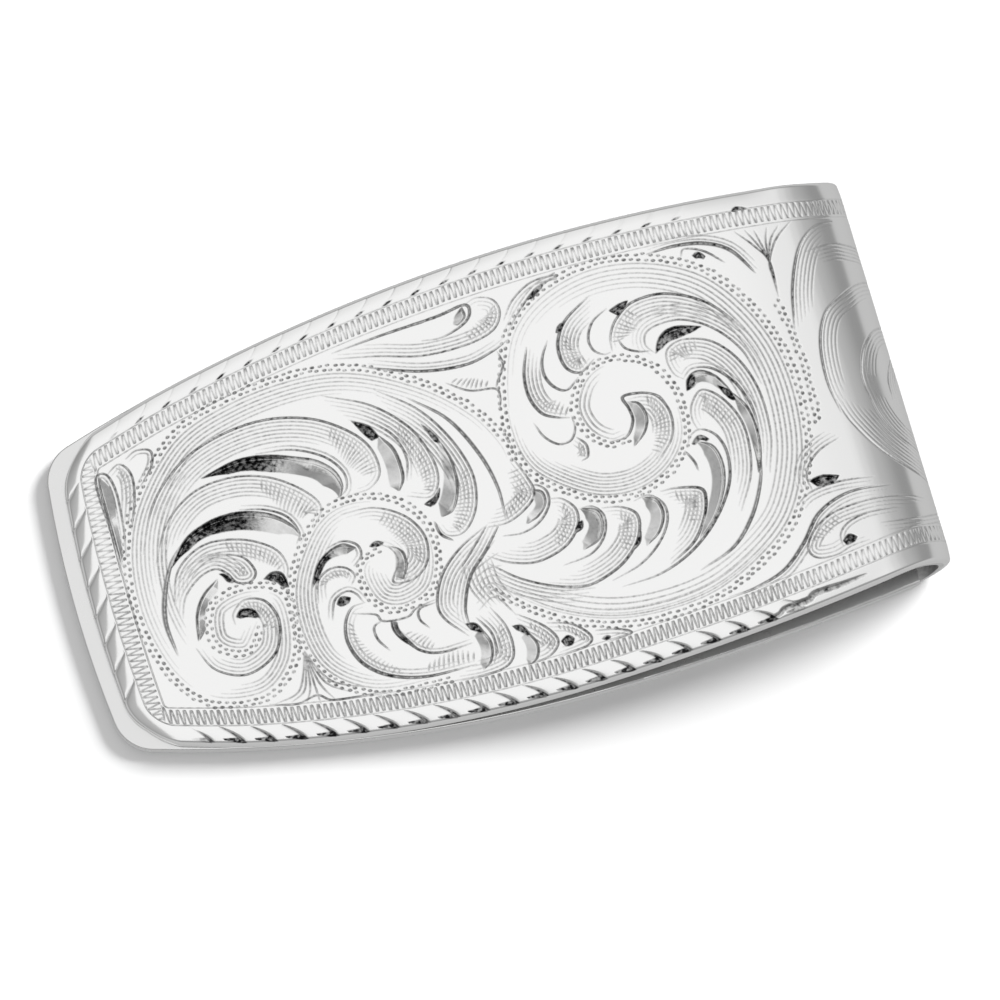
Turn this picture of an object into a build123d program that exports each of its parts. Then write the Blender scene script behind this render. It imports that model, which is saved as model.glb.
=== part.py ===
"""A folded money clip, cut and bent from one strip of silver plate.

The strip lies with its back leaf on the table and turns over itself in a bend at the +X end.
The front leaf runs back over the back leaf, dips towards it and grips along the -X part of the clip.
The bend rolls over gently at the top and folds tightly underneath, so the clip is a teardrop from the side.
The leaves and the bend are separate solids, because the leaf opens by flexing the bend.
Millimetres. X runs along the clip, Y across it, Z up. The origin is under the middle of the clip.
"""

from build123d import *
import math
import os

os.makedirs("parts", exist_ok=True)

# The strip
THICKNESS = 1.0             # plate thickness
FRONT_LENGTH = 57.0         # free end of the front leaf to the crown of the bend
TIP_STEP = 1.1              # the back leaf reaches this much past the front leaf
HEIGHT = 5.8                # over the bend, where the clip is thickest
ROLL_RADIUS = 5.5           # outside radius where the front leaf rolls over into the bend
ROLL_ANGLE = 50.0           # the turn of that part, in degrees; a tighter fold makes the rest

# The outline of the leaves, seen from above
FRONT_HALF_WIDTH = 15.45    # at the widest place
BACK_HALF_WIDTH = 15.55
WIDEST_FROM_TIP = 31.9      # free end of the front leaf to the widest place
TIP_SIDE_RADIUS = 103.0     # sides from the widest place towards the free end
FRONT_BEND_SIDE_RADIUS = 160.0  # sides of the front leaf and the bend, towards the bend
BACK_BEND_SIDE_RADIUS = 200.0   # the back leaf stays wider there, so it stands out as a small shoulder
END_BOW = 0.7               # the free end bows outwards by this much between its corners
CORNER_RADIUS = 2.9

# The side view of the front leaf
GRIP_GAP = 0.1              # between the leaves where they grip
GRIP_LENGTH = 9.0           # straight part of the front leaf, from its free end; an S-shaped rise follows

# The edges
RIM_WIDTH = 1.3             # bevel round the front face, where the rope border is cut
RIM_DEPTH = 0.4
EDGE_BREAK = 0.15           # polished edges of the back leaf

# The tight fold of the bend takes what height and turn the roll leaves
ROLL_SINE = math.sin(math.radians(ROLL_ANGLE))
ROLL_COSINE = math.cos(math.radians(ROLL_ANGLE))
FOLD_RADIUS = (HEIGHT - ROLL_RADIUS * (1 - ROLL_COSINE)) / (1 + ROLL_COSINE)

# Places along X
LENGTH = FRONT_LENGTH + TIP_STEP
CROWN_X = LENGTH / 2
FRONT_TIP_X = CROWN_X - FRONT_LENGTH
BACK_TIP_X = -LENGTH / 2
WIDEST_X = FRONT_TIP_X + WIDEST_FROM_TIP
ROLL_X = CROWN_X - ROLL_RADIUS * ROLL_SINE - FOLD_RADIUS * (1 - ROLL_SINE)  # the front leaf ends here
FOLD_X = ROLL_X + (ROLL_RADIUS - FOLD_RADIUS) * ROLL_SINE                   # the back leaf ends here

# Places along Z
GRIP_Z = THICKNESS + GRIP_GAP           # underside of the front leaf where it grips
TOP_LEAF_Z = HEIGHT - THICKNESS         # underside of the front leaf beside the bend

# Two equal arcs make the S-shaped rise: the turn of each, and its radius on the underside
RISE_LENGTH = ROLL_X - FRONT_TIP_X - GRIP_LENGTH
RISE_HEIGHT = TOP_LEAF_Z - GRIP_Z
RISE_ANGLE = 2 * math.degrees(math.atan(RISE_HEIGHT / RISE_LENGTH))
RISE_RADIUS = RISE_LENGTH / 2 / math.sin(math.radians(RISE_ANGLE))


def side_arc(half_width, radius, end_x):
    """One side of a leaf, from its widest place to end_x, as an arc that starts parallel to X."""
    turn = math.degrees(math.asin((WIDEST_X - end_x) / radius))
    return CenterArc((WIDEST_X, half_width - radius), radius, 90, turn)


def leaf_outline(tip_x, end_x, half_width, bend_side_radius):
    """A leaf seen from above, from its bowed free end at tip_x to a straight cut at end_x."""
    with BuildSketch() as outline:
        with BuildLine():
            tip_side = side_arc(half_width, TIP_SIDE_RADIUS, tip_x + END_BOW)
            bend_side = side_arc(half_width, bend_side_radius, end_x)
            mirror(about=Plane.XZ)
            tip_corner = tip_side @ 1
            cut_corner = bend_side @ 1
            ThreePointArc(tip_corner, (tip_x, 0), (tip_corner.X, -tip_corner.Y))
            Line(cut_corner, (cut_corner.X, -cut_corner.Y))
        make_face()
        fillet(outline.vertices().group_by(Axis.X)[0], CORNER_RADIUS)
    return outline.sketch


with BuildPart() as back_leaf:
    with BuildSketch():
        add(leaf_outline(BACK_TIP_X, FOLD_X, BACK_HALF_WIDTH, BACK_BEND_SIDE_RADIUS))
    extrude(amount=THICKNESS)
    free_end = back_leaf.edges().group_by(Axis.X)[0].filter_by(GeomType.CIRCLE)
    fillet(free_end, EDGE_BREAK)
back_leaf.part.label = "back_leaf"

with BuildPart() as front_leaf:
    with BuildSketch(Plane.XZ):
        with BuildLine():
            grip = Line((FRONT_TIP_X, GRIP_Z), (FRONT_TIP_X + GRIP_LENGTH, GRIP_Z))
            lift = JernArc(grip @ 1, grip % 1, RISE_RADIUS, RISE_ANGLE)
            JernArc(lift @ 1, lift % 1, RISE_RADIUS, -RISE_ANGLE)
            offset(amount=THICKNESS, side=Side.LEFT)
        make_face()
    extrude(amount=FRONT_HALF_WIDTH, both=True)
    with BuildSketch():
        add(leaf_outline(FRONT_TIP_X, ROLL_X, FRONT_HALF_WIDTH, FRONT_BEND_SIDE_RADIUS))
    extrude(amount=HEIGHT, mode=Mode.INTERSECT)
    grip_face = front_leaf.faces().filter_by(Plane.XY).sort_by(Axis.Z)[1]
    free_end = grip_face.edges().sort_by(Axis.X)[0]
    chamfer(free_end, RIM_WIDTH, RIM_DEPTH, reference=grip_face)
front_leaf.part.label = "front_leaf"

with BuildPart() as bend:
    with BuildSketch(Plane.XZ):
        with BuildLine():
            roll = JernArc((ROLL_X, HEIGHT), (1, 0), ROLL_RADIUS, -ROLL_ANGLE)
            JernArc(roll @ 1, roll % 1, FOLD_RADIUS, ROLL_ANGLE - 180)
            offset(amount=THICKNESS, side=Side.RIGHT)
        make_face()
    extrude(amount=FRONT_HALF_WIDTH, both=True)
    with BuildSketch():
        add(leaf_outline(FRONT_TIP_X, CROWN_X, FRONT_HALF_WIDTH, FRONT_BEND_SIDE_RADIUS))
    extrude(amount=HEIGHT, mode=Mode.INTERSECT)
    for side in (0, -1):
        roll_face = bend.faces().filter_by(GeomType.CYLINDER).sort_by(Axis.Z)[-1]
        chamfer(roll_face.edges().sort_by(Axis.Y)[side], RIM_WIDTH, RIM_DEPTH, reference=roll_face)
bend.part.label = "bend"

for piece in (back_leaf, front_leaf, bend):
    export_step(piece.part, f"parts/{piece.part.label}.step")
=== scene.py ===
"""An engraved silver money clip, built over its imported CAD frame.

The clip is one strip folded over itself. Its engraved face is cut here as real relief: every stroke of the
graver is drawn on a flat map of the strip, and the map is then wrapped round the front leaf and the bend.
Lengths are in millimetres until a mesh is made, and metres from there on.
"""

import math

import bmesh
import bpy
import numpy as np
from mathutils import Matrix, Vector


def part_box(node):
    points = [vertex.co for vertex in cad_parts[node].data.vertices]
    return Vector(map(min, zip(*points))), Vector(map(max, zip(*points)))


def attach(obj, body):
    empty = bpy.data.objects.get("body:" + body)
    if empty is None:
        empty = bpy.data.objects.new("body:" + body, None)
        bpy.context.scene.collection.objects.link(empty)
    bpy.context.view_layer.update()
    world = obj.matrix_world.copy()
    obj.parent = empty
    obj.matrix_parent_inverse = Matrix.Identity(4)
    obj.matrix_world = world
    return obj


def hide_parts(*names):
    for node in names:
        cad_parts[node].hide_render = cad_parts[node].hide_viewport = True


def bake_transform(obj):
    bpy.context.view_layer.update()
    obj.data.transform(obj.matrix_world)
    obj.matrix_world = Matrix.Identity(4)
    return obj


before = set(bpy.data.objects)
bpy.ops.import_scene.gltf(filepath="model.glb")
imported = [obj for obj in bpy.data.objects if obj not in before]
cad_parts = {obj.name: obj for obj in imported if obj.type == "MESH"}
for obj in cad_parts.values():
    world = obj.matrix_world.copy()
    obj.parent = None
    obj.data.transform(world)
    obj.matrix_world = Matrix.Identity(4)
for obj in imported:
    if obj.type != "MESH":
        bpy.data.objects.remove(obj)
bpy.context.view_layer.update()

MM = 0.001

# ---------------- the strip, as the CAD frame has it

front_low, front_high = (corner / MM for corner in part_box("front_leaf"))
bend_low, bend_high = (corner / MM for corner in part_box("bend"))

THICKNESS = 1.0
TIP_X = front_low.x                     # free end of the front leaf
ROLL_X = bend_low.x                     # the front leaf rolls over into the bend here
HEIGHT = bend_high.z - bend_low.z
FRONT_HALF_WIDTH = (front_high.y - front_low.y) / 2
GRIP_Z = front_low.z                    # underside of the front leaf where it grips
WIDEST_X = TIP_X + 31.9
TIP_SIDE_RADIUS = 103.0
BEND_SIDE_RADIUS = 160.0
END_BOW = 0.7
CORNER_RADIUS = 2.9
RIM_WIDTH = 1.3
RIM_DEPTH = 0.4

# The side view as lines and arcs along the top of the strip: (length, curvature), curving up is positive
GRIP_LENGTH = 9.0
RISE_LENGTH = ROLL_X - TIP_X - GRIP_LENGTH
RISE_ANGLE = 2 * math.atan((HEIGHT - THICKNESS - GRIP_Z) / RISE_LENGTH)
RISE_RADIUS = RISE_LENGTH / 2 / math.sin(RISE_ANGLE)    # on the underside
ROLL_RADIUS = 5.5
ROLL_ANGLE = math.radians(50)
FOLD_ANGLE = math.pi - ROLL_ANGLE
FOLD_RADIUS = (HEIGHT - ROLL_RADIUS * (1 - math.cos(ROLL_ANGLE))) / (1 + math.cos(ROLL_ANGLE))
PROFILE = (
    (GRIP_LENGTH, 0),
    (RISE_ANGLE * (RISE_RADIUS - THICKNESS), 1 / (RISE_RADIUS - THICKNESS)),
    (RISE_ANGLE * (RISE_RADIUS + THICKNESS), -1 / (RISE_RADIUS + THICKNESS)),
    (ROLL_ANGLE * ROLL_RADIUS, -1 / ROLL_RADIUS),
    (FOLD_ANGLE * FOLD_RADIUS, -1 / FOLD_RADIUS),
)
BEND_START = sum(length for length, _ in PROFILE[:3])   # stations are measured from the free end
BEND_END = sum(length for length, _ in PROFILE)


def strip_line(s):
    """The top of the strip at stations s: x, z and the outward normal's x and z."""
    x = np.full(s.shape, TIP_X)
    z = np.full(s.shape, GRIP_Z + THICKNESS)
    lean = np.zeros(s.shape)
    start = 0.0
    heading = 0.0
    for length, curve in PROFILE:
        along = np.clip(s - start, 0, length)
        if curve:
            x += (np.sin(heading + curve * along) - math.sin(heading)) / curve
            z += (math.cos(heading) - np.cos(heading + curve * along)) / curve
        else:
            x += along
        lean += curve * along
        heading += curve * length
        start += length
    return x, z, -np.sin(lean), np.cos(lean)


def fade(value, start, end):
    """Rises smoothly from nothing at start to one at end."""
    share = np.clip((value - start) / (end - start), 0, 1)
    return share * share * (3 - 2 * share)


def half_width(x):
    """Half the width of the front leaf and the bend at x, before its corners are rounded."""
    radius = np.where(x < WIDEST_X, TIP_SIDE_RADIUS, BEND_SIDE_RADIUS)
    return FRONT_HALF_WIDTH - radius + np.sqrt(radius**2 - (x - WIDEST_X) ** 2)


TIP_HALF_WIDTH = float(half_width(np.array([TIP_X + END_BOW]))[0])
BOW_FADE = 8.0              # the bow of the free end dies away over this length
BEND_FLARE = 0.35           # the bend widens to meet the back leaf


def lay_out(s, across):
    """Station, offset and distance from the cut edge, for a station s and a share of the half width."""
    width = half_width(strip_line(s)[0]) + BEND_FLARE * fade(s, BEND_START + 2, BEND_END - 3)
    from_end = s.copy()
    from_side = width * (1 - np.abs(across))
    in_corner = (from_end < CORNER_RADIUS) & (from_side < CORNER_RADIUS)
    a = np.clip(1 - from_side / CORNER_RADIUS, 0, 1)
    b = np.clip(1 - from_end / CORNER_RADIUS, 0, 1)
    round_a = a * np.sqrt(1 - b**2 / 2)
    round_b = b * np.sqrt(1 - a**2 / 2)
    from_side = np.where(in_corner, CORNER_RADIUS * (1 - round_a), from_side)
    from_end = np.where(in_corner, CORNER_RADIUS * (1 - round_b), from_end)
    corner_edge = CORNER_RADIUS * (1 - np.hypot(round_a, round_b))
    edge = np.where(in_corner, corner_edge, np.minimum(from_side, from_end))
    offset = np.sign(across) * (width - from_side)
    bow = END_BOW * (offset / TIP_HALF_WIDTH) ** 2 * np.clip(1 - from_end / BOW_FADE, 0, 1)
    return from_end + bow, offset, edge


# ---------------- the camera

VIEW_WIDTH = 67.95 * MM     # at the clip
LENS = 300.0
SENSOR = 36.0
AZIMUTH = math.radians(-16.1)
ELEVATION = math.radians(78.5)
TARGET = Vector((0.76, -1.12, 2.36)) * MM


def add_camera():
    """A long lens above the clip, turned so that the bend points up and to the right."""
    camera = bpy.data.objects.new("camera", bpy.data.cameras.new("camera"))
    bpy.context.scene.collection.objects.link(camera)
    camera.data.lens = LENS
    camera.data.sensor_width = SENSOR
    camera.data.clip_start = 0.001
    flat = math.cos(ELEVATION)
    look = Vector((-math.sin(AZIMUTH) * flat, math.cos(AZIMUTH) * flat, -math.sin(ELEVATION)))
    camera.location = TARGET - look * (VIEW_WIDTH * LENS / SENSOR)
    camera.rotation_euler = look.to_track_quat("-Z", "Y").to_euler()
    bpy.context.scene.camera = camera


add_camera()


# ---------------- the graver

# its strokes are drawn on a flat map of the strip
BLACK = 0.9                 # how dark a cut is painted at most: painted shade and dark reflection, with some tarnish
GREY = 0.13                 # a bright cut, painted a light grey
MAP_CELL = 0.03             # side of a cell of the map
MAP_HALF_WIDTH = 15.6
MAP_SHAPE = (int(BEND_END / MAP_CELL) + 2, int(2 * MAP_HALF_WIDTH / MAP_CELL) + 2)
SPAN_SAMPLES = 24           # a smooth line is worked out at this many places between two of its points,
LINE_STEP = 0.02            # and then sampled this far apart
# the darkening of each cut below is painted shade and dark reflection, with some tarnish
OUTLINE_WIDTH = 0.11
OUTLINE_DEPTH = 0.07
OUTLINE_DARKENING = 1.0
SHADE_WIDTH = 0.075
SHADE_DEPTH = 0.05
SHADE_LINE_DARKENING = 0.75
SHADE_GAP = 0.27            # between shade lines
GOUGE_LIP = 0.15            # where a bright cut is deepest, as a share of its width
GOUGE_SLOPE = 0.42          # its depth over its width
PATCHES = 7                 # its floor is uneven: slope and painted darkness vary between this many places
GOUGE_TAPER = 0.12          # it narrows over this share of its length at each end
HATCH_GAP = 0.34            # between the short strokes across the shade lines

chance = np.random.default_rng(7)
cut_map = np.zeros(MAP_SHAPE, np.float32)       # depth of the metal taken away
shade_and_tarnish_map = np.zeros(MAP_SHAPE, np.float32)       # painted shade and dark reflection of each cut, with some tarnish


def press(s, t, depth, shade_and_tarnish):
    """Sinks the map to depth, and darkens it with painted shade and tarnish, at points (s, t)."""
    row = np.round(s / MAP_CELL).astype(int).ravel()
    column = np.round((t + MAP_HALF_WIDTH) / MAP_CELL).astype(int).ravel()
    inside = (row >= 0) & (row < MAP_SHAPE[0]) & (column >= 0) & (column < MAP_SHAPE[1])
    spot = (row[inside], column[inside])
    np.maximum.at(cut_map, spot, np.broadcast_to(depth, s.shape).ravel()[inside].astype(np.float32))
    np.maximum.at(shade_and_tarnish_map, spot, np.broadcast_to(shade_and_tarnish, s.shape).ravel()[inside].astype(np.float32))


def smooth_line(points):
    """A smooth line through a few points, sampled evenly."""
    knots = np.array(points, float)
    before = 2 * knots[0] - knots[1]
    after = 2 * knots[-1] - knots[-2]
    padded = np.vstack([before, knots, after])
    share = np.linspace(0, 1, SPAN_SAMPLES, endpoint=False)[:, None]
    spans = []
    for a, b, c, d in zip(padded, padded[1:], padded[2:], padded[3:]):
        cubic = -a + 3 * b - 3 * c + d
        square = 2 * a - 5 * b + 4 * c - d
        spans.append((2 * b + (c - a) * share + square * share**2 + cubic * share**3) / 2)
    line = np.vstack(spans + [knots[-1:]])
    length = np.concatenate([[0], np.cumsum(np.hypot(*np.diff(line, axis=0).T))])
    even = np.linspace(0, length[-1], max(int(length[-1] / LINE_STEP), 4))
    return np.stack([np.interp(even, length, line[:, i]) for i in (0, 1)], 1)


def headings(line):
    """The direction of the line at each of its points."""
    ahead = np.gradient(line, axis=0)
    return ahead / np.maximum(np.hypot(ahead[:, 0], ahead[:, 1]), 1e-9)[:, None]


def beside(line, distance):
    """The line moved sideways, to its right when distance is positive."""
    ahead = headings(line)
    return line + np.stack([ahead[:, 1], -ahead[:, 0]], 1) * np.asarray(distance)[..., None]


def stretch(line, start, end):
    """The part of a line between two shares of its length."""
    count = len(line)
    return line[int(start * count):max(int(end * count), int(start * count) + 4)]


def stroke(line, width, depth, shade_and_tarnish):
    """A graver's cut along a line, pointed at both ends and widest in the middle."""
    swell = np.sin(np.linspace(0, math.pi, len(line))) ** 0.5
    for across in np.linspace(-1, 1, max(3, int(width / MAP_CELL) + 2)):
        offset = swell * across * width / 2
        sunk = depth * swell * (1 - 0.8 * abs(across))
        path = beside(line, offset)
        press(path[:, 0], path[:, 1], sunk, shade_and_tarnish * (1 - 0.5 * abs(across)) * (0.3 + 0.7 * swell))


def fine_stroke(line):
    """A thin cut, as used for shading."""
    stroke(line, SHADE_WIDTH, SHADE_DEPTH, SHADE_LINE_DARKENING)


def gouge(outer, inner, shade_and_tarnish, lighten_from=1.2):
    """A bright cut between two lines, deepest by the outer one.

    Its floor is painted dark with painted reflection and tarnish, and a lighter painted grey past a given
    share of its length.
    """
    outer_line = smooth_line(outer)
    inner_line = smooth_line(inner)
    share = np.linspace(0, 1, max(len(outer_line), len(inner_line)))
    edges = []
    for line in (outer_line, inner_line):
        own = np.linspace(0, 1, len(line))
        edges.append(np.stack([np.interp(share, own, line[:, i]) for i in (0, 1)], 1))
    taper = np.clip(np.minimum(share, 1 - share) / GOUGE_TAPER, 0, 1) ** 0.6
    edges[1] = edges[0] + (edges[1] - edges[0]) * taper[:, None]
    gap = np.hypot(*(edges[1] - edges[0]).T)
    patch_places = np.linspace(0, 1, PATCHES)
    slope = GOUGE_SLOPE * np.interp(share, patch_places, chance.uniform(0.35, 1.15, PATCHES))
    light_floor = GREY * np.interp(share, patch_places, chance.uniform(0.3, 1.8, PATCHES))
    # painted reflection and tarnish: the floor is painted dark, and a lighter grey past the given share
    dark_floor = shade_and_tarnish if shade_and_tarnish > GREY else light_floor
    for across in np.linspace(0, 1, int(gap.max() / MAP_CELL * 1.6) + 3):
        path = edges[0] * (1 - across) + edges[1] * across
        floor = min(across / GOUGE_LIP, (1 - across) / (1 - GOUGE_LIP))
        lightened = fade(share + chance.normal(0, 0.06, len(share)), lighten_from - 0.05, lighten_from + 0.05)
        grain = chance.uniform(0.7, 1.2, len(share))
        press(path[:, 0], path[:, 1], slope * gap * floor, (dark_floor + (light_floor - dark_floor) * lightened) * grain)
    stroke(outer_line, OUTLINE_WIDTH, OUTLINE_DEPTH, OUTLINE_DARKENING)


def shade(line, side, count, first=SHADE_GAP, start=0.02, end=0.98, gap=SHADE_GAP):
    """Thin lines beside a line, each a little shorter than the one before."""
    for number in range(count):
        shorten = 0.06 * number * (end - start)
        part = stretch(line, start + shorten * 0.6, end - shorten)
        fine_stroke(beside(part, side * (first + gap * number)))


def hatch(line, side, start, end, reach):
    """Short strokes across the shade lines, longest in the middle."""
    part = stretch(line, start, end)
    length = len(part) * LINE_STEP
    count = max(int(length / HATCH_GAP), 3)
    for number in range(count):
        share = (number + 0.5) / count
        here = part[int(share * (len(part) - 1))]
        spot = int(share * (len(part) - 3))
        ahead = part[spot + 2] - part[spot]
        ahead /= np.hypot(*ahead)
        across = np.array([ahead[1], -ahead[0]]) * side
        long = reach * (0.55 + 0.45 * math.sin(math.pi * share))
        line_across = smooth_line([here + across * 0.12, here + across * long * 0.6 + ahead * 0.08,
                                   here + across * long + ahead * 0.22])
        fine_stroke(line_across)


def leaf(points, side, lines=4, hatched=None, reach=1.1, weight=1.0):
    """A leaf of a scroll: its outline, and the shading inside it on one side."""
    line = smooth_line(points)
    stroke(line, OUTLINE_WIDTH * weight, OUTLINE_DEPTH * weight, OUTLINE_DARKENING)
    shade(line, side, lines)
    if hatched:
        hatch(line, side, *hatched, reach)


BEAD_PITCH = 0.5
BEAD_WIDTH = 0.2
BEAD_LENGTH = 0.29
BEAD_ROW_GAP = 0.33
BEAD_STRAY = 0.035          # how unevenly the beads are punched
BEAD_DEPTH = 0.09
# painted shade in the punched dots, with some tarnish
BEAD_DARKENING = 0.9


def beads(line):
    """Two staggered rows of small punched dots along a line."""
    step = len(line) / max(len(line) * LINE_STEP / BEAD_PITCH, 1)
    ahead = headings(line)
    for row, shift in ((-0.5, 0.0), (0.5, 0.5)):
        spots = ((np.arange(int(len(line) / step)) + shift) * step).astype(int)
        spots = spots[spots < len(line)]
        centre = beside(line, row * BEAD_ROW_GAP)[spots] + chance.normal(0, BEAD_STRAY, (len(spots), 2))
        force = chance.uniform(0.5, 0.85, len(spots))
        forward = ahead[spots]
        sideways = np.stack([forward[:, 1], -forward[:, 0]], 1)
        for along in np.linspace(-1, 1, 15):
            for across in np.linspace(-1, 1, 11):
                reach = along**2 + across**2
                if reach > 1:
                    continue
                spot = centre + forward * along * BEAD_LENGTH / 2 + sideways * across * BEAD_WIDTH / 2
                press(spot[:, 0], spot[:, 1], BEAD_DEPTH * force * (1 - reach),
                      BEAD_DARKENING * force * (1 - reach**2))


# ---------------- the drawing

# every cut is a list of (station, offset) points on the strip


def engrave_left_scroll():
    """The large scroll by the free end, with bright-cut leaves fanning over its eye."""
    edge = smooth_line([(10.9, -4.9), (9.5, -6.4), (7.9, -5.9), (7.3, -4.6), (8, -2.6), (10.4, -2),
                        (12.7, -2.9), (13.1, -5.2), (12.2, -8.1), (9.8, -9.8), (6.2, -9.2), (4, -6.7),
                        (2.9, -2.5), (3.2, 2), (4.9, 5.8), (8.5, 9.4), (13, 10.9), (18, 11.2), (22, 10.3),
                        (26, 7.9), (28.8, 5.1), (30.2, 2.5), (30.5, 0.6)])
    beads(edge)
    shade(edge, 1, 6, first=0.45, start=0.36, end=0.99, gap=0.28)
    shade(edge, 1, 3, first=2.15, start=0.4, end=0.62, gap=0.28)
    shade(edge, 1, 3, first=0.45, start=0, end=0.15)
    shade(edge, 1, 4, first=0.5, start=0.16, end=0.34)
    leaf([(9.1, -4.4), (9.2, -3.6), (10.2, -2.9), (11.5, -3.4), (12, -5), (11.2, -7), (9, -7.9), (7, -7),
          (6.1, -5.2)], 1, 4, hatched=(0.1, 0.4), weight=1.3)
    gouge([(9.3, -3.9), (9.8, -3.5), (10.5, -3.7), (10.9, -4.4)], [(9.4, -4.1), (10, -4.1), (10.7, -4.4)],
          BLACK)
    gouge([(6.4, -4.8), (6.8, -3), (7.6, -1.8), (8.8, -1)], [(7, -4.6), (7.4, -3), (8.2, -2.1), (9, -1.5)],
          GREY)
    leaf([(5.8, -3), (6.4, -1.6), (7.6, -0.6), (8.8, -0.3), (9.5, -0.8), (10, -1.6), (10.9, -1.8),
          (11.4, -1.2), (10.8, 0), (9.2, 0.6), (7.4, 0.5)], -1, 4)
    gouge([(9, -0.7), (9.4, -0.9), (9.8, -1.5)], [(9.2, -0.9), (9.4, -1.4), (9.8, -1.6)], BLACK)
    leaf([(5.5, -2), (6.4, 0.3), (8.5, 1.5), (11, 1.2), (13, 0), (13.6, -1.4), (13.2, -2.6)], 1, 4,
         hatched=(0.5, 0.9), reach=1.3)
    gouge([(11.8, -1.9), (12.5, -1.6), (13.1, -1.9), (13.3, -2.9)], [(12.1, -2.1), (12.6, -2.4), (13, -3)],
          BLACK)
    gouge([(6, 0.6), (7.4, 2.2), (9, 2.9), (10.5, 3.1), (12, 2.9), (13.6, 2.2), (14.7, 1.1), (15, 0.2)],
          [(6.5, 0.9), (8.4, 1.9), (10, 2), (11.6, 1.7), (13.4, 0.9), (14.5, 0.2)], BLACK, lighten_from=0.62)
    stroke(smooth_line([(4.8, -5.4), (4.6, -3), (5.1, -1), (6, 0.8), (7, 1.9)]), 0.3, 0.1, 0.7)
    leaf([(11.5, 3.2), (13.2, 2.7), (14.5, 1.8), (15, 0.5), (14.6, -0.2)], -1, 1)
    leaf([(5, 1), (6.5, 3.6), (8.8, 5.2), (11.5, 5.5), (14, 4.8), (16, 3.3), (16.9, 1.8), (16, 0.5)], 1, 5,
         hatched=(0.62, 0.95), reach=1.9)
    gouge([(9.6, 6), (11.8, 6.5), (13.2, 6.5), (14.6, 6.2), (15.9, 5.7), (17.4, 5), (18.4, 4), (18.7, 2.9),
           (18.3, 2)],
          [(10.4, 5.8), (12.5, 5.7), (14, 5.2), (15.5, 4.6), (16.8, 3.9), (17.4, 3.2), (17.9, 2.2)], BLACK,
          lighten_from=0.45)
    leaf([(13.6, 6.6), (16, 6.2), (18, 5.1), (19, 3.7), (18.9, 2.5), (18, 2)], -1, 1)
    leaf([(4.4, 2), (6, 5.2), (8.5, 7.4), (11.5, 8.5), (14.8, 8.7), (17.8, 7.9), (20, 6.4), (21.2, 4.8),
          (21.4, 3), (20.5, 2.1), (19.1, 2)], 1, 6, hatched=(0.7, 0.9), reach=2.0, weight=1.3)
    gouge([(20.5, 6.9), (21.5, 6.2), (22, 5.3)], [(20.6, 6.7), (21.1, 5.7), (21.6, 5)], BLACK)
    gouge([(22, 5.4), (22.7, 4.3), (22.9, 3), (22.8, 2), (22.3, 1.3)],
          [(21.6, 5), (21.8, 4), (21.9, 3), (21.8, 2), (21.9, 1.3)], GREY)
    leaf([(21.5, 6.7), (22.9, 5.2), (23.4, 3.4), (23, 1.8)], -1, 1)
    leaf([(19, 9.2), (22, 7.6), (24.1, 5.4), (25, 3.2), (25.1, 1.4), (24.3, 0.3), (22.7, 0.8)], 1, 5,
         hatched=(0.42, 0.86), reach=1.3)
    gouge([(25, 5.3), (25.7, 4.2), (25.9, 3.6)], [(25.1, 5), (25.4, 4.2), (25.6, 3.7)], BLACK)
    gouge([(25.9, 3.8), (26.3, 2.2), (26.2, 0.4), (25.5, -1), (24.6, -1.3)],
          [(25.6, 3.6), (25.6, 1.9), (25.3, 0.8), (24.8, -0.1), (24.2, -0.6)], GREY)
    gouge([(25, 0.7), (24.5, 0.2), (23.7, -0.1)], [(24.9, 0.2), (24.4, -0.3), (23.9, -0.4)], BLACK)
    leaf([(22.5, 8.6), (25, 6.4), (26.6, 3.8), (27.4, 1), (27, -1.3), (25.8, -2.7), (24.6, -2.6),
          (24.1, -1.6)], 1, 6, hatched=(0.55, 0.88), reach=1.4)
    stroke(smooth_line([(24.5, 7.4), (26.8, 5.1), (28.2, 2.2), (28.8, -0.5), (28.7, -3)]), 0.2, 0.09, 0.8)
    leaf([(27.3, -2.9), (28.8, -3), (30.3, -2.4), (31.1, -1.6), (30.9, -0.4), (30.3, 1.2)], -1, 4,
         hatched=(0.2, 0.9), reach=1.5)


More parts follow.
